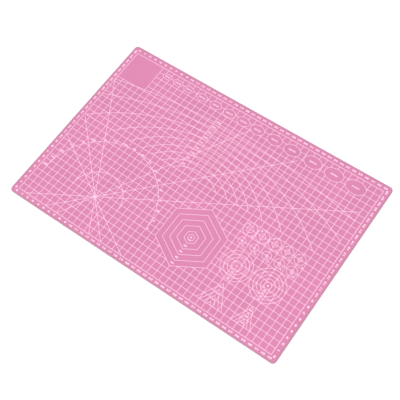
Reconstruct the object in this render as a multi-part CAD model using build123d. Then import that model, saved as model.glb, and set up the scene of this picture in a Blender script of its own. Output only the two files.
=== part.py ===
from build123d import *
import os
from math import cos, radians, sin, tan

# An A3 self healing cutting mat, lying flat: five bonded PVC plies and the ink film printed on
# the work face. Millimetres. The origin is the centre of the underside, +X runs along the long
# side, +Y runs up the short side, away from the scale's zero, and +Z points out of the work face.

# The sheet
MAT_LENGTH = 450
MAT_WIDTH = 300
CORNER_RADIUS = 5.5
RIM_RADIUS = 0.3  # the die-cut rim of each outer ply is slightly rolled over

# The plies, each bonded to the next over its whole face
CUTTING_PLY = 0.9
CUSHION_PLY = 0.35
CORE = 0.5

# The print: its lines stand proud of the work face by the thickness of the ink
INK = 0.03
LINE = 0.6
GRID_PITCH = 10
GRID_COLUMNS = 43
GRID_ROWS = 28
SCALE_LENGTH = GRID_COLUMNS * GRID_PITCH
SCALE_WIDTH = GRID_ROWS * GRID_PITCH

# Places on the print are measured from the scale's zero corner. The scale is centred between the
# sheet's ends, and lies a little nearer to its lower side than to its upper one.
LOWER_MARGIN = 9
SCALE_CORNER = (-SCALE_LENGTH / 2, LOWER_MARGIN - MAT_WIDTH / 2)

# Radius gauge: flat-topped family of arcs over one base line, one grid square apart at their tops
GAUGE_X = 200
GAUGE_BASE_Y = 150
GAUGE_RIGHT_X = 420
GAUGE_LOWEST_TOP = 163.8
GAUGE_RADII = (60, 80, 100, 120, 150, 200, 300, 500, 1000)

# Protractor: two half circles and six long rays through one centre
PROTRACTOR_CENTRE = (100, 50)
PROTRACTOR_RADII = (40, 90)
RAY_LENGTHS = {30: 369.5, 45: 291.5, 60: 240, 120: 200, 135: 137.5, 150: 115.5}

# Templates. The circles' rows are given by their height on the scale, larger radii first.
HEXAGON_CENTRE = (250, 75)
HEXAGON_CORNER_RADII = (5, 10, 20, 30, 40, 50)
RING_CENTRES = (325, 375)
RING_Y = 75
RING_RADII = ((1.5, 7.5, 12.5, 17.5, 22.5), (5, 10, 15, 20, 25))
CIRCLE_X = (310, 330, 350, 370, 390)
CIRCLE_RADII = {
    130: ((10, 9.5, 9, 8.5, 8), (5, 4.5, 4, 3.5, 3)),
    110: ((5.5, 6, 6.5, 7, 7.5), (0.5, 1, 1.5, 2, 2.5)),
}
TRIANGLE_BASE_Y = 10
TRIANGLE_HEIGHTS = ((5, 15, 25, 35), (10, 20, 30))
TRIANGLE_SLOPES = (tan(radians(60)), 2)  # equilateral, and as wide as they are tall
OVAL_TOP_Y = 274.5
OVAL_X = (65, 85, 105, 130, 155, 180, 205, 230, 260, 290, 325, 360, 395)
OVAL_WIDTHS = (15.5, 16.5, 17, 18, 19, 20, 21, 22.5, 24, 26, 28, 29.5, 31.5)
OVAL_HEIGHTS = range(9, 22)

TOP_OF_PLIES = 2 * CUTTING_PLY + 2 * CUSHION_PLY + CORE


def ply(bottom, thickness):
    """One full sheet with its round corners, lying at this height."""
    sheet = extrude(RectangleRounded(MAT_LENGTH, MAT_WIDTH, CORNER_RADIUS), thickness)
    return Pos(0, 0, bottom) * sheet


def plies():
    """The laminate from the table up, as node name to solid."""
    stack = (
        ("bottom_cutting_ply", CUTTING_PLY),
        ("bottom_cushion_ply", CUSHION_PLY),
        ("rigid_core", CORE),
        ("top_cushion_ply", CUSHION_PLY),
        ("top_cutting_ply", CUTTING_PLY),
    )
    nodes = {}
    height = 0
    for name, thickness in stack:
        nodes[name] = ply(height, thickness)
        height += thickness
    under = nodes["bottom_cutting_ply"]
    over = nodes["top_cutting_ply"]
    nodes["bottom_cutting_ply"] = fillet(under.edges().group_by(Axis.Z)[0], RIM_RADIUS)
    nodes["top_cutting_ply"] = fillet(over.edges().group_by(Axis.Z)[-1], RIM_RADIUS)
    return nodes


def on_scale(x, y):
    """A place on the print, measured from the scale's zero corner."""
    return Pos(SCALE_CORNER[0] + x, SCALE_CORNER[1] + y)


def band(shape):
    """A line drawn along the outline of a flat shape, half inside it and half outside."""
    return offset(shape, LINE / 2) - offset(shape, -LINE / 2)


def ring(radius):
    return Circle(radius + LINE / 2) - Circle(radius - LINE / 2)


def frame():
    return on_scale(SCALE_LENGTH / 2, SCALE_WIDTH / 2) * band(Rectangle(SCALE_LENGTH, SCALE_WIDTH))


def radius_gauge():
    """Every arc keeps only what lies above the base line and inside the scale."""
    window_width = GAUGE_RIGHT_X
    window_height = SCALE_WIDTH - GAUGE_BASE_Y
    window = on_scale(window_width / 2, GAUGE_BASE_Y + window_height / 2) * Rectangle(
        window_width, window_height
    )
    arcs = []
    for step, radius in enumerate(GAUGE_RADII):
        top = GAUGE_LOWEST_TOP + step * GRID_PITCH
        arcs.append((on_scale(GAUGE_X, top - radius) * ring(radius)) & window)
    return arcs


def protractor():
    """Half rings over the centre line, and rays that run from the scale's edge past the centre."""
    x, y = PROTRACTOR_CENTRE
    largest = PROTRACTOR_RADII[-1] + LINE
    upper_half = Pos(0, largest / 2) * Rectangle(2 * largest, largest)
    parts = [on_scale(x, y) * (ring(radius) & upper_half) for radius in PROTRACTOR_RADII]
    for angle, length in RAY_LENGTHS.items():
        below = y / sin(radians(angle))
        middle = (length - below) / 2
        place = on_scale(x + middle * cos(radians(angle)), y + middle * sin(radians(angle)))
        parts.append(place * Rot(0, 0, angle) * Rectangle(length + below, LINE))
    return parts


def hexagons():
    return [
        on_scale(*HEXAGON_CENTRE) * band(RegularPolygon(radius, 6, rotation=90))
        for radius in HEXAGON_CORNER_RADII
    ]


def ring_templates():
    return [
        on_scale(x, RING_Y) * ring(radius)
        for x, radii in zip(RING_CENTRES, RING_RADII)
        for radius in radii
    ]


def circle_templates():
    """Two rows of circles, each with a smaller one inside it."""
    return [
        on_scale(x, y) * ring(radius)
        for y, series in CIRCLE_RADII.items()
        for radii in series
        for x, radius in zip(CIRCLE_X, radii)
    ]


def triangle_templates():
    """Triangles nested over one base line, below each family of rings."""
    parts = []
    for x, heights, slope in zip(RING_CENTRES, TRIANGLE_HEIGHTS, TRIANGLE_SLOPES):
        for height in heights:
            half_base = height / slope
            outline = Polygon((-half_base, 0), (half_base, 0), (0, height), align=None)
            parts.append(on_scale(x, TRIANGLE_BASE_Y) * band(outline))
    return parts


def oval_templates():
    """Ovals in a row, with their tops in line."""
    parts = []
    for x, width, height in zip(OVAL_X, OVAL_WIDTHS, OVAL_HEIGHTS):
        outer = Ellipse((width + LINE) / 2, (height + LINE) / 2)
        inner = Ellipse((width - LINE) / 2, (height - LINE) / 2)
        parts.append(on_scale(x, OVAL_TOP_Y - height / 2) * (outer - inner))
    return parts


def top_print():
    """The ink film: the scale's frame and every template outline, fused where lines cross."""
    lines = Sketch() + [frame(), *radius_gauge(), *protractor()]
    lines += [*hexagons(), *ring_templates(), *circle_templates()]
    lines += [*triangle_templates(), *oval_templates()]
    return Pos(0, 0, TOP_OF_PLIES) * extrude(lines, INK)


os.makedirs("parts", exist_ok=True)
nodes = plies()
nodes["top_print"] = top_print()
for name, solid in nodes.items():
    export_step(solid, f"parts/{name}.step")
    print(name, "solids", len(solid.solids()), "volume", round(solid.volume, 1))
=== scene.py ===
from math import acos, asin, cos, degrees, pi, radians, sin, tan

import bpy
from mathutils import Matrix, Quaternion, Vector
from mathutils.geometry import delaunay_2d_cdt


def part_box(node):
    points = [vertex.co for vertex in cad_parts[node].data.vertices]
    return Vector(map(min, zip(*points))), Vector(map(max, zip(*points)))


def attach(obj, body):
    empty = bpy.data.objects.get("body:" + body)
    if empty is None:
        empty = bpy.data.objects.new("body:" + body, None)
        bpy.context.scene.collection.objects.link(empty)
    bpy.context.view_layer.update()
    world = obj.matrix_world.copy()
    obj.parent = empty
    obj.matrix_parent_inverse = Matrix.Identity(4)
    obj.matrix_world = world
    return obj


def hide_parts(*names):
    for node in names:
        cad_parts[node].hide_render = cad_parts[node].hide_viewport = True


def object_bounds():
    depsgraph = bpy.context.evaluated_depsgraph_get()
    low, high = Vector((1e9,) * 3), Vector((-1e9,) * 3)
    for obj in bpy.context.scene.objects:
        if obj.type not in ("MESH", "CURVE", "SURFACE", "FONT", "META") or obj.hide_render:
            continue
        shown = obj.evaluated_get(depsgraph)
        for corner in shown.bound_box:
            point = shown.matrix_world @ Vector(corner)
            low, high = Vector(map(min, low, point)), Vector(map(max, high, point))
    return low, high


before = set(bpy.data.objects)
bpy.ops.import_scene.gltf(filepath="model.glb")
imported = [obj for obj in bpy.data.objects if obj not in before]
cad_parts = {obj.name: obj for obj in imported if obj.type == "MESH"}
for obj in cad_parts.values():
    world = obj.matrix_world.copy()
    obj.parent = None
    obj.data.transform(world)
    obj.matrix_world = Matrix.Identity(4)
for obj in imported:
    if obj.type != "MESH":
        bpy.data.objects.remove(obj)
cad_low, cad_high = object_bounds()

# An A3 self healing cutting mat, lying face up on a pale floor: five bonded plies, and the ink
# film printed on the work face. The scene is in metres; sizes of the mat are given in millimetres.
MM = 0.001

# ---- Camera, light and floor, in metres and degrees -------------------------------------------

CAMERA_PLACE = (0.3763, -0.4021, 1.0539)
CAMERA_AIM = (0.0105, -0.0117, 0.0)
CAMERA_ROLL = -8.41
LENS = 76.1  # millimetres

FLOOR_SIZE = 12.0
FLOOR_GAP = 0.05 * MM  # the floor lies this far under the mat, so that no two faces coincide

SKY_STRENGTH = 1.1
KEY_PLACE = (0.2, -1.3, 4.0)
KEY_AIM = (0, 0, 0)
KEY_SIZE = 3.0
KEY_POWER = 48.5

# ---- The plies --------------------------------------------------------------------------------

CORNER_RADIUS = 5.5
CORNER_STEPS = 24
RIM_RADIUS = 0.3
RIM_STEPS = 6
SEAM = 0.06  # each bonded edge is drawn in this much, which leaves a fine groove between plies
CUSHION_INSET = 0.08
CORE_INSET = 0.03
CRISP_ANGLE = 50  # edges of a ply that turn by more degrees than this aren't shaded as round

# ---- The print, in millimetres from the scale's zero corner -----------------------------------

LINE = 0.6  # how wide a line is drawn
PITCH = 10
COLUMNS = 43
ROWS = 28
LENGTH = COLUMNS * PITCH
WIDTH = ROWS * PITCH
BLANK_SQUARE = 50  # the side of the square at the upper left that is left blank

TICK = 0.15  # how wide a tick is drawn; the two below are lengths
FINE_TICK = 1.2
MIDDLE_TICK = 1.8

# Heights of the numbers, how much wider they are drawn than plain ones, and the space round them
BORDER_NUMERAL = 2.8
LABEL = 2.5
SMALL_LABEL = 2.2
OVAL_LABEL = 2.7
WIDE = 1.5
BORDER_WIDE = 1.7
SINGLE_WIDE = 2.2  # border numerals of a single figure
OVAL_WIDE = 0.74
LABEL_MARGIN = 0.3

SIDE_GAP = 4.6  # from the frame out to the middle of the numerals at the sides
LOWER_GAP = 4.3
UPPER_GAP = 5.3

GAUGE_X = 200
GAUGE_BASE_Y = 150
GAUGE_RIGHT_X = 420
GAUGE_LOWEST_TOP = 163.8
GAUGE_RADII = (60, 80, 100, 120, 150, 200, 300, 500, 1000)
GAUGE_LABEL_X = 171  # where each label starts
GAUGE_LABEL_END_X = 180  # where the label's height above its arc is taken
GAUGE_LABEL_GAP = 2.4
MARK = 2  # the length of each half-centimetre mark across the gauge's base line

PROTRACTOR_CENTRE = (100, 50)
INNER_ARC = 40
OUTER_ARC = 90
RAY_LENGTHS = {30: 369.5, 45: 291.5, 60: 240, 120: 200, 135: 137.5, 150: 115.5}
TICK_ANGLES = range(0, 181, 5)
LABEL_ANGLES = range(0, 181, 10)
DEGREE_TICK = 1.8
TEN_DEGREE_TICK = 3.0
DEGREE_TICK_WIDTH = 2 * TICK
PROTRACTOR_LABEL_GAP = 0.7
END_LABEL_RISE = 2.2  # the first and last label stand clear of the line through the centre

HEXAGON_CENTRE = (250, 75)
HEXAGON_RADII = (50, 40, 30, 20, 10, 5)
HEXAGON_LABEL_RISE = 5.5

RING_CENTRES = (325, 375)
RING_Y = 75
RING_RADII = ((1.5, 7.5, 12.5, 17.5, 22.5), (5, 10, 15, 20, 25))
RING_LABEL_RISE = 2.4

# Two rows of circles, given by their height on the scale. Each row has a larger and a smaller
# series, and each series has the place of its labels, to the right of the centres and above them.
CIRCLE_X = (310, 330, 350, 370, 390)
CIRCLE_RADII = {
    130: ((10, 9.5, 9, 8.5, 8), (5, 4.5, 4, 3.5, 3)),
    110: ((5.5, 6, 6.5, 7, 7.5), (0.5, 1, 1.5, 2, 2.5)),
}
CIRCLE_LABELS = {130: ((9, -8), (-5, 6)), 110: ((5.5, -6.5), (2.6, -3.2))}
SMALLEST_RING = 1.5  # circles smaller than this are printed as solid dots
CENTRE_DOT = 1.3

TRIANGLE_BASE_Y = 10
TRIANGLE_HEIGHTS = ((35, 25, 15, 5), (30, 20, 10))
TRIANGLE_SLOPES = (tan(radians(60)), 2)  # equilateral, and as wide as they are tall
TRIANGLE_LABEL_DROP = 6

OVAL_TOP_Y = 274.5
OVAL_X = (65, 85, 105, 130, 155, 180, 205, 230, 260, 290, 325, 360, 395)
OVAL_WIDTHS = (15.5, 16.5, 17, 18, 19, 20, 21, 22.5, 24, 26, 28, 29.5, 31.5)
OVAL_HEIGHTS = range(9, 22)

print_low, print_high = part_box("top_print")
ZERO_X = (print_low.x + print_high.x) / 2 / MM - LENGTH / 2
ZERO_Y = (print_low.y + print_high.y) / 2 / MM - WIDTH / 2


def polar(centre, radius, angle):
    """The point at this radius and angle, in degrees, from a centre."""
    return centre[0] + radius * cos(radians(angle)), centre[1] + radius * sin(radians(angle))


def mesh_object(name, vertices, faces, material):
    """A new object of the scene, from its vertices in metres and its faces."""
    mesh = bpy.data.meshes.new(name)
    mesh.from_pydata(vertices, [], faces)
    mesh.materials.append(material)
    thing = bpy.data.objects.new(name, mesh)
    bpy.context.scene.collection.objects.link(thing)
    return thing


# ---- Lines as flat polygons -------------------------------------------------------------------

# How long the straight stretches of a curve may be, and the fewest that make it look round
ARC_STRETCH = 2.5
CIRCLE_STRETCH = 1.0
DOT_STRETCH = 0.2
FEWEST_STEPS = 12
OVAL_STEPS = 72
FIRST_STEP = 1 / 8  # where a circle's first point lies, as a share of a step


def stroke(points, closed=False, width=LINE):
    """A line through the points, as one four-sided polygon for each of its stretches, mitred."""
    count = len(points)
    sides = []
    for i in range(count):
        before = points[i - 1] if closed or i > 0 else points[i]
        after = points[(i + 1) % count] if closed or i < count - 1 else points[i]
        here = Vector(points[i])
        arriving = (here - Vector(before)).normalized()
        leaving = (Vector(after) - here).normalized()
        if arriving.length == 0:
            arriving = leaving
        if leaving.length == 0:
            leaving = arriving
        square = Vector((-arriving.y, arriving.x))
        mitre = (square + Vector((-leaving.y, leaving.x))).normalized()
        reach = width / 2 / mitre.dot(square)
        sides.append((tuple(here + mitre * reach), tuple(here - mitre * reach)))
    stretches = count if closed else count - 1
    quads = []
    for i in range(stretches):
        left, right = sides[i]
        next_left, next_right = sides[(i + 1) % count]
        quads.append([right, next_right, next_left, left])
    return quads


def arc(centre, radius, start=0, end=180):
    """Points along an arc, between two angles in degrees."""
    span = radians(end - start)
    steps = max(FEWEST_STEPS, round(abs(span) * radius / ARC_STRETCH))
    return [polar(centre, radius, start + (end - start) * i / steps) for i in range(steps + 1)]


def circle(centre, radius, stretch=CIRCLE_STRETCH):
    """Points round a circle, none of them at its four outermost places, where grid lines touch it."""
    steps = max(FEWEST_STEPS, round(2 * pi * radius / stretch))
    return [polar(centre, radius, 360 * (i + FIRST_STEP) / steps) for i in range(steps)]


def oval(centre, width, height):
    turns = [2 * pi * i / OVAL_STEPS for i in range(OVAL_STEPS)]
    return [(centre[0] + width / 2 * cos(t), centre[1] + height / 2 * sin(t)) for t in turns]


def hexagon(centre, radius):
    """A hexagon with one corner at its top."""
    return [polar(centre, radius, 90 + 60 * i) for i in range(6)]


def dot(centre):
    """A solid dot, as a list of one polygon."""
    return [circle(centre, CENTRE_DOT, DOT_STRETCH)]


# ---- Triangles --------------------------------------------------------------------------------

INSIDE_ONLY = 1  # the kind of triangulation that keeps within the faces it is given


def triangles_of(points, faces, nearest):
    """Cuts flat, overlapping faces into separate triangles.

    Points nearer together than nearest become one. Returns the points, the triangles, and for each
    triangle the faces that cover it."""
    cut = delaunay_2d_cdt(points, [], [list(face) for face in faces], INSIDE_ONLY, nearest)
    new_points, _, all_triangles, _, _, all_sources = cut
    kept = [pair for pair in zip(all_triangles, all_sources) if pair[1]]
    return new_points, [triangle for triangle, _ in kept], [sources for _, sources in kept]


# ---- Numerals ---------------------------------------------------------------------------------

NUMERAL_WEIGHT = 0.06  # how far each numeral's outline is pushed out, as a share of its font size
NUMERAL_HEIGHT = 0.82  # the height it then has, as a share of its font size
NUMERAL_SPACING = 1.12  # how much further apart than usual the figures of a number stand
NUMERAL_STEPS = 4  # the straight stretches that each curved part of an outline is made of
NUMERAL_DETAIL = 0.001  # points of an outline nearer than this share of its height become one
numeral_meshes = {}


def numeral(text):
    """A number's points, triangles and size, centred and one unit tall."""
    if text not in numeral_meshes:
        curve = bpy.data.curves.new("numeral", "FONT")
        curve.body = text
        curve.resolution_u = NUMERAL_STEPS
        curve.offset = NUMERAL_WEIGHT
        curve.space_character = NUMERAL_SPACING
        holder = bpy.data.objects.new("numeral", curve)
        mesh = bpy.data.meshes.new_from_object(holder)
        points = [vertex.co.xy / NUMERAL_HEIGHT for vertex in mesh.vertices]
        outlines = [face.vertices for face in mesh.polygons]
        points, faces, _ = triangles_of(points, outlines, NUMERAL_DETAIL)
        bpy.data.objects.remove(holder)
        bpy.data.meshes.remove(mesh)
        bpy.data.curves.remove(curve)
        low = Vector((min(p.x for p in points), min(p.y for p in points)))
        high = Vector((max(p.x for p in points), max(p.y for p in points)))
        points = [p - (low + high) / 2 for p in points]
        numeral_meshes[text] = points, faces, high - low
    return numeral_meshes[text]


def numeral_size(number):
    """The width and height of a number that is about one unit tall."""
    _, _, size = numeral(str(number))
    return size


class Layout:
    """The shapes of the print: what each piece of it draws, and what is left out round it.

    No line crosses a label's box, and no grid line crosses a cleared outline."""

    def __init__(self):
        self.shapes = {}
        self.labels = {}
        self.label_boxes = []
        self.cleared = []

    def draw(self, piece, polygons):
        self.shapes.setdefault(piece, []).extend(polygons)

    def label(self, piece, text, centre, height=LABEL, stretch=WIDE, turned=False):
        """A number, upright or turned to read from the right."""
        points, faces, size = numeral(str(text))
        points = [Vector((p.x * stretch, p.y)) for p in points]
        size = Vector((size.x * stretch, size.y))
        if turned:
            points = [Vector((-p.y, p.x)) for p in points]
            size = Vector((size.y, size.x))
        placed = [Vector(centre) + p * height for p in points]
        self.labels.setdefault(piece, []).append((placed, faces))
        half = size * height / 2 + Vector((LABEL_MARGIN, LABEL_MARGIN))
        left, right = centre[0] - half.x, centre[0] + half.x
        lower, upper = centre[1] - half.y, centre[1] + half.y
        self.label_boxes.append([(left, lower), (right, lower), (right, upper), (left, upper)])

    def clear(self, polygon):
        self.cleared.append(polygon)


# ---- What is printed --------------------------------------------------------------------------


def draw_grid(layout):
    """The centimetre grid, but for the blank square, which has edges of its own."""
    for column in range(1, COLUMNS):
        x = column * PITCH
        layout.draw("print_grid", stroke([(x, 0), (x, WIDTH)]))
    for row in range(1, ROWS):
        y = row * PITCH
        layout.draw("print_grid", stroke([(0, y), (LENGTH, y)]))
    right, lower = BLANK_SQUARE, WIDTH - BLANK_SQUARE
    layout.clear([(0, lower), (right, lower), (right, WIDTH), (0, WIDTH)])
    layout.draw("print_scale", stroke([(right, lower), (right, WIDTH)]))
    layout.draw("print_scale", stroke([(0, lower), (right, lower)]))


def ticks(side):
    """The place and length of each millimetre tick along a side of the frame, in between grid lines."""
    places = [place for place in range(1, side) if place % PITCH]
    return [(place, FINE_TICK if place % (PITCH // 2) else MIDDLE_TICK) for place in places]


def draw_numeral(layout, number, place, turned=False):
    """A centimetre numeral. Those of a single figure are drawn wider."""
    stretch = SINGLE_WIDE if len(str(number)) == 1 else BORDER_WIDE
    layout.label("print_scale", number, place, BORDER_NUMERAL, stretch, turned)


def draw_scale(layout):
    """The frame, its millimetre ticks, and the centimetre numerals outside it."""
    piece = "print_scale"
    corners = [(0, 0), (LENGTH, 0), (LENGTH, WIDTH), (0, WIDTH)]
    layout.draw(piece, stroke(corners, closed=True))
    for x, reach in ticks(LENGTH):
        layout.draw(piece, stroke([(x, 0), (x, reach)], width=TICK))
        layout.draw(piece, stroke([(x, WIDTH), (x, WIDTH - reach)], width=TICK))
    for y, reach in ticks(WIDTH):
        layout.draw(piece, stroke([(0, y), (reach, y)], width=TICK))
        layout.draw(piece, stroke([(LENGTH, y), (LENGTH - reach, y)], width=TICK))
    for column in range(COLUMNS + 1):
        for y in (-LOWER_GAP, WIDTH + UPPER_GAP):
            draw_numeral(layout, column, (column * PITCH, y))
    for row in range(ROWS + 1):
        for x in (-SIDE_GAP, LENGTH + SIDE_GAP):
            draw_numeral(layout, row, (x, row * PITCH), turned=True)


def draw_radius_gauge(layout):
    """Arcs over one base line. Each keeps what lies above that line and inside the scale."""
    piece = "print_radius_gauge"
    for step, radius in enumerate(GAUGE_RADII):
        top = GAUGE_LOWEST_TOP + step * PITCH
        centre = (GAUGE_X, top - radius)
        base = degrees(asin((GAUGE_BASE_Y - centre[1]) / radius))
        right = degrees(acos(min(1, (GAUGE_RIGHT_X - GAUGE_X) / radius)))
        left = degrees(acos(max(-1, -GAUGE_X / radius)))
        layout.draw(piece, stroke(arc(centre, radius, max(base, right), min(180 - base, left))))
        drop = radius - (radius**2 - (GAUGE_X - GAUGE_LABEL_END_X) ** 2) ** 0.5
        middle = GAUGE_LABEL_X + numeral_size(radius).x * SMALL_LABEL * WIDE / 2
        layout.label(piece, radius, (middle, top - drop + GAUGE_LABEL_GAP), SMALL_LABEL)
    for column in range(COLUMNS):
        x = (column + 0.5) * PITCH
        layout.draw(piece, stroke([(x, GAUGE_BASE_Y - MARK / 2), (x, GAUGE_BASE_Y + MARK / 2)]))


def draw_protractor(layout):
    """Two half circles with their ticks and labels, and long rays that all run through the centre."""
    piece = "print_protractor"
    centre = PROTRACTOR_CENTRE
    for angle, length in RAY_LENGTHS.items():
        below = centre[1] / sin(radians(angle))
        layout.draw(piece, stroke([polar(centre, -below, angle), polar(centre, length, angle)]))
    for radius in (INNER_ARC, OUTER_ARC):
        layout.draw(piece, stroke(arc(centre, radius)))
    for angle in TICK_ANGLES:
        reach = TEN_DEGREE_TICK if angle in LABEL_ANGLES else DEGREE_TICK
        for radius in (INNER_ARC, OUTER_ARC):
            ends = [polar(centre, radius, angle), polar(centre, radius - reach, angle)]
            layout.draw(piece, stroke(ends, width=DEGREE_TICK_WIDTH))
    for angle in LABEL_ANGLES:
        across, up = numeral_size(angle) * LABEL / 2
        lean = abs(cos(radians(angle))) * across * WIDE + abs(sin(radians(angle))) * up
        x, y = polar(centre, OUTER_ARC + PROTRACTOR_LABEL_GAP + lean, angle)
        if angle in (LABEL_ANGLES[0], LABEL_ANGLES[-1]):
            y += END_LABEL_RISE
        layout.label(piece, angle, (x, y))
    layout.draw(piece, dot(centre))


def draw_hexagons(layout):
    """Nested hexagons on a blank ground. The smallest has no room for a label."""
    piece = "print_hexagons"
    layout.clear(hexagon(HEXAGON_CENTRE, HEXAGON_RADII[0]))
    for radius in HEXAGON_RADII:
        layout.draw(piece, stroke(hexagon(HEXAGON_CENTRE, radius), closed=True))
    x, y = HEXAGON_CENTRE
    for radius in HEXAGON_RADII[:-1]:
        layout.label(piece, radius, (x, y - radius + HEXAGON_LABEL_RISE))
    layout.draw(piece, dot(HEXAGON_CENTRE))


def draw_rings(layout):
    """Two families of rings, labelled with their diameters, but for the smallest of each."""
    piece = "print_rings"
    for x, radii in zip(RING_CENTRES, RING_RADII):
        for radius in radii:
            layout.draw(piece, stroke(circle((x, RING_Y), radius), closed=True))
        for radius in radii[1:]:
            place = (x, RING_Y - radius + RING_LABEL_RISE)
            layout.label(piece, round(2 * radius), place, SMALL_LABEL)
    layout.draw(piece, dot((RING_CENTRES[1], RING_Y)))


def draw_circles(layout):
    """Two rows of circles, one inside another, each with its diameter beside it."""
    piece = "print_circles"
    for y, series in CIRCLE_RADII.items():
        for radii, (right, up) in zip(series, CIRCLE_LABELS[y]):
            for x, radius in zip(CIRCLE_X, radii):
                if radius < SMALLEST_RING:
                    layout.draw(piece, dot((x, y)))
                else:
                    layout.draw(piece, stroke(circle((x, y), radius), closed=True))
                layout.label(piece, round(2 * radius), (x + right, y + up), SMALL_LABEL)


def draw_triangles(layout):
    """Triangles nested over one base line, each with its height unless it is too small for it."""
    piece = "print_triangles"
    for x, heights, slope in zip(RING_CENTRES, TRIANGLE_HEIGHTS, TRIANGLE_SLOPES):
        for height in heights:
            half = height / slope
            top = TRIANGLE_BASE_Y + height
            corners = [(x - half, TRIANGLE_BASE_Y), (x + half, TRIANGLE_BASE_Y), (x, top)]
            layout.draw(piece, stroke(corners, closed=True))
            if height > TRIANGLE_LABEL_DROP:
                layout.label(piece, height, (x, top - TRIANGLE_LABEL_DROP), SMALL_LABEL)


def draw_ovals(layout):
    """A row of blank ovals, each with its width and height in the middle."""
    piece = "print_ovals"
    for x, width, height in zip(OVAL_X, OVAL_WIDTHS, OVAL_HEIGHTS):
        centre = (x, OVAL_TOP_Y - height / 2)
        outline = oval(centre, width, height)
        layout.clear(outline)
        layout.draw(piece, stroke(outline, closed=True))
        layout.label(piece, f"{width:.1f}×{height:.1f}", centre, OVAL_LABEL, OVAL_WIDE)


# ---- Ink --------------------------------------------------------------------------------------

PRINT_DETAIL = 1e-4  # points of the print nearer than this, in millimetres, become one


def flatten(layout):
    """Cuts the overlapping shapes into triangles, each given to the first piece that covers it."""
    templates = [piece for piece in layout.shapes if piece != "print_grid"]
    order = ["label_boxes", *templates, "cleared", "print_grid"]
    shapes = dict(layout.shapes, label_boxes=layout.label_boxes, cleared=layout.cleared)
    points, faces, ranks = [], [], []
    for rank, piece in enumerate(order):
        for polygon in shapes[piece]:
            faces.append(list(range(len(points), len(points) + len(polygon))))
            points += polygon
            ranks.append(rank)
    corners, triangles, sources = triangles_of([Vector(p) for p in points], faces, PRINT_DETAIL)
    pieces = {piece: [] for piece in order}
    for triangle, covering in zip(triangles, sources):
        first = min(ranks[face] for face in covering)
        pieces[order[first]].append(triangle)
    del pieces["cleared"], pieces["label_boxes"]
    return corners, pieces


def film(name, flat_parts, material):
    """A closed film of ink on the work face, from flat triangles in millimetres."""
    vertices, faces = [], []
    for points, triangles in flat_parts:
        used = sorted({i for triangle in triangles for i in triangle})
        number = {old: new for new, old in enumerate(used)}
        count = len(used)
        start = len(vertices)
        flat = [((ZERO_X + points[i][0]) * MM, (ZERO_Y + points[i][1]) * MM) for i in used]
        vertices += [(x, y, print_low.z) for x, y in flat]
        vertices += [(x, y, print_high.z) for x, y in flat]
        edges = set()
        for triangle in triangles:
            loop = [start + number[i] for i in triangle]
            faces.append(tuple(reversed(loop)))
            faces.append(tuple(i + count for i in loop))
            edges.update(zip(loop, loop[1:] + loop[:1]))
        for a, b in sorted(edges):
            if (b, a) not in edges:
                faces.append((a, b, b + count, a + count))
    piece = mesh_object(name, vertices, faces, material)
    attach(piece, "root")
    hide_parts("top_print")


def add_print(material):
    layout = Layout()
    for draw in (draw_scale, draw_radius_gauge, draw_protractor, draw_hexagons, draw_rings,
                 draw_circles, draw_triangles, draw_ovals, draw_grid):
        draw(layout)
    corners, pieces = flatten(layout)
    for name, triangles in pieces.items():
        film(name, [(corners, triangles)] + layout.labels.get(name, []), material)


# ---- Plies ------------------------------------------------------------------------------------

CORNERS = ((1, 1), (-1, 1), (-1, -1), (1, -1))  # the sheet's four, as signs of x and y
CORNER_POINTS = CORNER_STEPS + 1
OUTLINE_POINTS = len(CORNERS) * CORNER_POINTS


def sheet_outline(inset, hubs):
    """The sheet's outline drawn in by inset: a quarter circle about each hub, counter-clockwise."""
    points = []
    for corner, hub in enumerate(hubs):
        for step in range(CORNER_POINTS):
            turn = 90 * (corner + step / CORNER_STEPS)
            points.append(polar(hub, CORNER_RADIUS - inset, turn))
    return points


def side_faces(levels):
    """The faces between each outline and the next one up."""
    faces = []
    for below in range(0, (levels - 1) * OUTLINE_POINTS, OUTLINE_POINTS):
        above = below + OUTLINE_POINTS
        for i in range(OUTLINE_POINTS):
            j = (i + 1) % OUTLINE_POINTS
            faces.append((below + i, below + j, above + j, above + i))
    return faces


def cap_faces(start, hub):
    """The faces that close an outline, seen from above: a rectangle between the hubs, a fan at each
    corner, and a strip along each side."""
    faces = [(hub, hub + 1, hub + 2, hub + 3)]
    for corner in range(len(CORNERS)):
        following = (corner + 1) % len(CORNERS)
        first = start + corner * CORNER_POINTS
        last = first + CORNER_STEPS
        faces += [(hub + corner, i, i + 1) for i in range(first, last)]
        faces.append((hub + corner, last, start + following * CORNER_POINTS, hub + following))
    return faces


def ply(node, profile, material):
    """One sheet, lofted through its edge profile: pairs of inset and height above its underside."""
    low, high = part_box(node)
    across, up = high.x / MM - CORNER_RADIUS, high.y / MM - CORNER_RADIUS
    hubs = [(side_x * across, side_y * up) for side_x, side_y in CORNERS]
    vertices = []
    for inset, height in profile:
        z = low.z + height * MM
        vertices += [(x * MM, y * MM, z) for x, y in sheet_outline(inset, hubs)]
    faces = side_faces(len(profile))
    rounded = len(faces)
    lower_hub = len(vertices)
    upper_hub = lower_hub + len(hubs)
    for z in (low.z, high.z):
        vertices += [(x * MM, y * MM, z) for x, y in hubs]
    faces += [tuple(reversed(face)) for face in cap_faces(0, lower_hub)]
    faces += cap_faces(lower_hub - OUTLINE_POINTS, upper_hub)
    piece = mesh_object("shown_" + node, vertices, faces, material)
    for i, face in enumerate(piece.data.polygons):
        face.use_smooth = i < rounded
    piece.data.set_sharp_from_angle(angle=radians(CRISP_ANGLE))
    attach(piece, "root")
    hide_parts(node)


def thickness(node):
    """The thickness of a CAD node, in millimetres."""
    low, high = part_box(node)
    return (high.z - low.z) / MM


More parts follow.
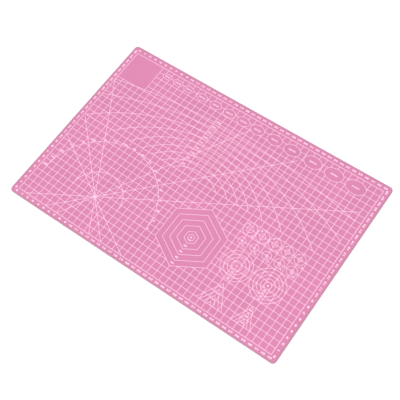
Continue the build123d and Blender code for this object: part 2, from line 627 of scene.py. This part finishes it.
def rolled_rim(height):
    """The edge of the upper cutting ply: bonded below, rolled over above."""
    profile = [(SEAM, 0), (0, SEAM), (0, height - RIM_RADIUS)]
    for step in range(1, RIM_STEPS + 1):
        turn = radians(90 * step / RIM_STEPS)
        profile.append((RIM_RADIUS * (1 - cos(turn)), height - RIM_RADIUS * (1 - sin(turn))))
    return profile


def rolled_foot(height):
    """The edge of the lower cutting ply, which is the upper one turned over."""
    return [(inset, height - level) for inset, level in reversed(rolled_rim(height))]


def bonded_edge(height, inset):
    """The edge of a ply between two others, set back from theirs."""
    return [(inset + SEAM, 0), (inset, SEAM), (inset, height - SEAM), (inset + SEAM, height)]


def add_plies(cutting, cushion, core):
    lower, upper = "bottom_cutting_ply", "top_cutting_ply"
    ply(lower, rolled_foot(thickness(lower)), cutting)
    ply(upper, rolled_rim(thickness(upper)), cutting)
    inner = (
        ("bottom_cushion_ply", cushion, "cushion_pvc", CUSHION_INSET),
        ("rigid_core", core, "core_pvc", CORE_INSET),
        ("top_cushion_ply", cushion, "cushion_pvc", CUSHION_INSET),
    )
    for node, material, slot, inset in inner:
        ply(node, bonded_edge(thickness(node), inset), material)


# ---- Materials --------------------------------------------------------------------------------

NOISE_RANGE = (0.3, 0.7)  # where nearly all of a noise lies

# Blender's Mix node has a set of sockets for each kind of value
FIRST_NUMBER, SECOND_NUMBER, MIXED_NUMBER = 2, 3, 0
FIRST_COLOUR, SECOND_COLOUR, MIXED_COLOUR = 6, 7, 2


def tinted(colour, share):
    """A colour made darker or paler."""
    return tuple(min(1, share * channel) for channel in colour)


class Nodes:
    """A material's node tree, with short calls to add nodes to it."""

    def __init__(self, name):
        self.material = bpy.data.materials.new(name)
        self.material.use_nodes = True
        self.tree = self.material.node_tree
        self.shader = self.tree.nodes["Principled BSDF"]
        self.place = self.add("ShaderNodeTexCoord").outputs["Object"]

    def feed(self, socket, value):
        """Links an input socket to another node's output, or sets it to a plain value."""
        if isinstance(value, bpy.types.NodeSocket):
            self.tree.links.new(value, socket)
        else:
            socket.default_value = value

    def add(self, kind, values=(), **settings):
        """A new node with its settings, and then a value for each socket that values names."""
        node = self.tree.nodes.new(kind)
        for key, value in settings.items():
            setattr(node, key, value)
        for socket, value in dict(values).items():
            self.feed(node.inputs[socket], value)
        return node

    def set(self, socket, value):
        """Sets or links one of the shader's own sockets."""
        self.feed(self.shader.inputs[socket], value)

    def noise(self, scale, detail, stretch=(1, 1, 1)):
        """Noise with this many bumps to the metre, stretched along an axis where asked."""
        mapped = self.add("ShaderNodeMapping", {"Vector": self.place, "Scale": stretch})
        values = {"Vector": mapped.outputs[0], "Scale": scale, "Detail": detail}
        return self.add("ShaderNodeTexNoise", values).outputs["Fac"]

    def spread(self, value, start, end, low=0, high=1, kind="LINEAR"):
        """The range of a value from start to end, spread from low to high and held there."""
        values = {"Value": value, "From Min": start, "From Max": end, "To Min": low, "To Max": high}
        return self.add("ShaderNodeMapRange", values, interpolation_type=kind).outputs["Result"]

    def between(self, noise, low, high):
        """A noise spread from low to high."""
        return self.spread(noise, *NOISE_RANGE, low, high)

    def vector(self, operation, *values):
        """One step of vector arithmetic. Its result is a vector, or for a length a number."""
        node = self.add("ShaderNodeVectorMath", dict(enumerate(values)), operation=operation)
        return node.outputs["Value" if operation == "LENGTH" else "Vector"]

    def near_edge(self, width):
        """From 0 inside the sheet to 1 at its outline, over this width in metres."""
        corner = CORNER_RADIUS * MM
        hub = (cad_high.x - corner, cad_high.y - corner, 0)
        flat = self.vector("MULTIPLY", self.place, (1, 1, 0))
        quarter = self.vector("ABSOLUTE", flat)
        past_hub = self.vector("MAXIMUM", self.vector("SUBTRACT", quarter, hub), (0, 0, 0))
        reach = self.vector("LENGTH", past_hub)
        return self.spread(reach, corner - width, corner, kind="SMOOTHSTEP")

    def blend(self, factor, first, second, kind="MIX"):
        """Two colours mixed or multiplied, each a node's output or its red, green and blue."""
        node = self.add("ShaderNodeMix", {"Factor": factor}, data_type="RGBA", blend_type=kind)
        for number, colour in ((FIRST_COLOUR, first), (SECOND_COLOUR, second)):
            opaque = (*colour, 1) if isinstance(colour, tuple) else colour
            self.feed(node.inputs[number], opaque)
        return node.outputs[MIXED_COLOUR]

    def choose(self, factor, first, second):
        """A number that goes from the first to the second as the factor goes from 0 to 1."""
        values = {"Factor": factor, FIRST_NUMBER: first, SECOND_NUMBER: second}
        return self.add("ShaderNodeMix", values).outputs[MIXED_NUMBER]

    def levelness(self):
        """From 0 where the surface stands upright to 1 where it lies level."""
        normal = self.add("ShaderNodeNewGeometry").outputs["Normal"]
        upward = self.add("ShaderNodeSeparateXYZ", {"Vector": normal}).outputs["Z"]
        return self.add("ShaderNodeMath", {0: upward}, operation="ABSOLUTE").outputs["Value"]

    def bump(self, height, strength, distance):
        values = {"Strength": strength, "Distance": distance, "Height": height}
        self.set("Normal", self.add("ShaderNodeBump", values).outputs["Normal"])


# Scales are in bumps to the metre, and shades are shares of the material's own colour
CUTTING_COLOUR = (0.570, 0.186, 0.338)
CUSHION_COLOUR = (0.57, 0.24, 0.36)
CORE_COLOUR = (0.66, 0.46, 0.54)
CLOUD_SCALE = 14
CLOUD_SHADES = (0.90, 1.08)
CLOUD_RANGE = (0.1, 0.9)
SPECK_SCALE = 1400
SPECK_SHADES = (0.82, 1.16)
SPECK_SHARE = 0.5  # how much of the colour comes from the specks, and not from the clouds
PEBBLE_SCALE = 1900
PEBBLE_SMOOTHNESS = 0.6
KNIFE_MARK_SCALE = 1500
KNIFE_MARK_STRETCH = (1, 1, 0.06)
PVC_SPECULAR = 0.35
PVC_RELIEF = 0.05 * MM
ROUGHNESS_SPREAD = 0.06
PAINTED_EDGE_SHADE_WIDTH = 4.0  # painted edge shade: the cutting plies are drawn darker and greyer this far in from their cut edge
PAINTED_EDGE_SHADE = (0.78, 1.06, 0.87)  # what that painted shade does to the red, green and blue of their colour

INK_COLOUR = (0.87, 0.585, 0.73)
THIN_INK_COLOUR = (0.85, 0.535, 0.70)
THIN_INK_SCALE = 900
INK_ROUGHNESS = (0.42, 0.55)
INK_SPECULAR = 0.4
INK_GRAIN_SCALE = 2500
INK_GRAIN = 0.2
INK_RELIEF = 0.02 * MM

FLOOR_COLOUR = (0.95, 0.95, 0.95)
FLOOR_SCALE = 3
FLOOR_SHADE = 1.01
FLOOR_ROUGHNESS = 0.8


def pvc(name, colour, roughness, grain, painted_edge_shade=None):
    """Matte PVC: a pebbled skin, faint clouding in the colour, and knife marks down its cut edge."""
    nodes = Nodes(name)
    clouds = nodes.between(nodes.noise(CLOUD_SCALE, detail=4), *CLOUD_RANGE)
    specks = nodes.between(nodes.noise(SPECK_SCALE, detail=2), 0, 1)
    clouded = nodes.blend(clouds, *(tinted(colour, shade) for shade in CLOUD_SHADES))
    specked = nodes.blend(specks, *(tinted(colour, shade) for shade in SPECK_SHADES))
    skin = nodes.blend(SPECK_SHARE, clouded, specked)
    # painted edge shade: the colour is multiplied darker and greyer towards the cut edge, in place of
    # shade there
    if painted_edge_shade:
        skin = nodes.blend(nodes.near_edge(PAINTED_EDGE_SHADE_WIDTH * MM), skin, painted_edge_shade, "MULTIPLY")
    nodes.set("Base Color", skin)
    smooth, rough = roughness - ROUGHNESS_SPREAD, roughness + ROUGHNESS_SPREAD
    nodes.set("Roughness", nodes.between(specks, smooth, rough))
    nodes.set("Specular IOR Level", PVC_SPECULAR)
    values = {"Vector": nodes.place, "Scale": PEBBLE_SCALE, "Smoothness": PEBBLE_SMOOTHNESS}
    pebbles = nodes.add("ShaderNodeTexVoronoi", values, feature="SMOOTH_F1").outputs["Distance"]
    marks = nodes.noise(KNIFE_MARK_SCALE, detail=3, stretch=KNIFE_MARK_STRETCH)
    nodes.bump(nodes.choose(nodes.levelness(), marks, pebbles), grain, PVC_RELIEF)
    return nodes.material


def ink(name):
    """Screen printed ink: nearly white, a little thinner here and there, with a soft sheen."""
    nodes = Nodes(name)
    thin = nodes.between(nodes.noise(THIN_INK_SCALE, detail=3), 0, 1)
    nodes.set("Base Color", nodes.blend(thin, INK_COLOUR, THIN_INK_COLOUR))
    nodes.set("Roughness", nodes.between(thin, *INK_ROUGHNESS))
    nodes.set("Specular IOR Level", INK_SPECULAR)
    nodes.bump(nodes.noise(INK_GRAIN_SCALE, detail=1), INK_GRAIN, INK_RELIEF)
    return nodes.material


def floor_paint(name):
    """Matte off-white paint, very faintly uneven."""
    nodes = Nodes(name)
    patches = nodes.between(nodes.noise(FLOOR_SCALE, detail=3), 0, 1)
    nodes.set("Base Color", nodes.blend(patches, FLOOR_COLOUR, tinted(FLOOR_COLOUR, FLOOR_SHADE)))
    nodes.set("Roughness", FLOOR_ROUGHNESS)
    return nodes.material


# ---- Stage ------------------------------------------------------------------------------------


def add_aimed(name, data, place, target, roll=0):
    """A camera or a light at a place, looking at a target and rolled by some degrees."""
    thing = bpy.data.objects.new(name, data)
    look = Vector(target) - Vector(place)
    thing.location = place
    thing.rotation_mode = "QUATERNION"
    thing.rotation_quaternion = (
        look.to_track_quat("-Z", "Y") @ Quaternion((0, 0, 1), radians(roll))
    )
    bpy.context.scene.collection.objects.link(thing)
    return thing


def add_camera():
    data = bpy.data.cameras.new("camera")
    data.lens = LENS
    camera = add_aimed("camera", data, CAMERA_PLACE, CAMERA_AIM, CAMERA_ROLL)
    bpy.context.scene.camera = camera


def add_light():
    """A white sky, and one large round lamp above the camera's side of the mat."""
    world = bpy.data.worlds.new("studio")
    world.use_nodes = True
    background = world.node_tree.nodes["Background"]
    background.inputs["Color"].default_value = (1, 1, 1, 1)
    background.inputs["Strength"].default_value = SKY_STRENGTH
    bpy.context.scene.world = world
    data = bpy.data.lights.new("key", "AREA")
    data.shape = "DISK"
    data.size = KEY_SIZE
    data.energy = KEY_POWER
    add_aimed("key", data, KEY_PLACE, KEY_AIM)


def add_floor():
    half = FLOOR_SIZE / 2
    z = cad_low.z - FLOOR_GAP
    corners = [(-half, -half, z), (half, -half, z), (half, half, z), (-half, half, z)]
    floor = mesh_object("floor", corners, [(0, 1, 2, 3)], floor_paint("floor"))


bpy.context.scene.view_settings.view_transform = "Standard"
add_camera()
add_light()
add_floor()
add_plies(
    # the cutting plies carry the painted edge shade along their cut edge
    cutting=pvc("cutting_pvc", CUTTING_COLOUR, roughness=0.6, grain=0.6, painted_edge_shade=PAINTED_EDGE_SHADE),
    cushion=pvc("cushion_pvc", CUSHION_COLOUR, roughness=0.7, grain=0.2),
    core=pvc("core_pvc", CORE_COLOUR, roughness=0.65, grain=0.15),
)
add_print(ink("print_ink"))
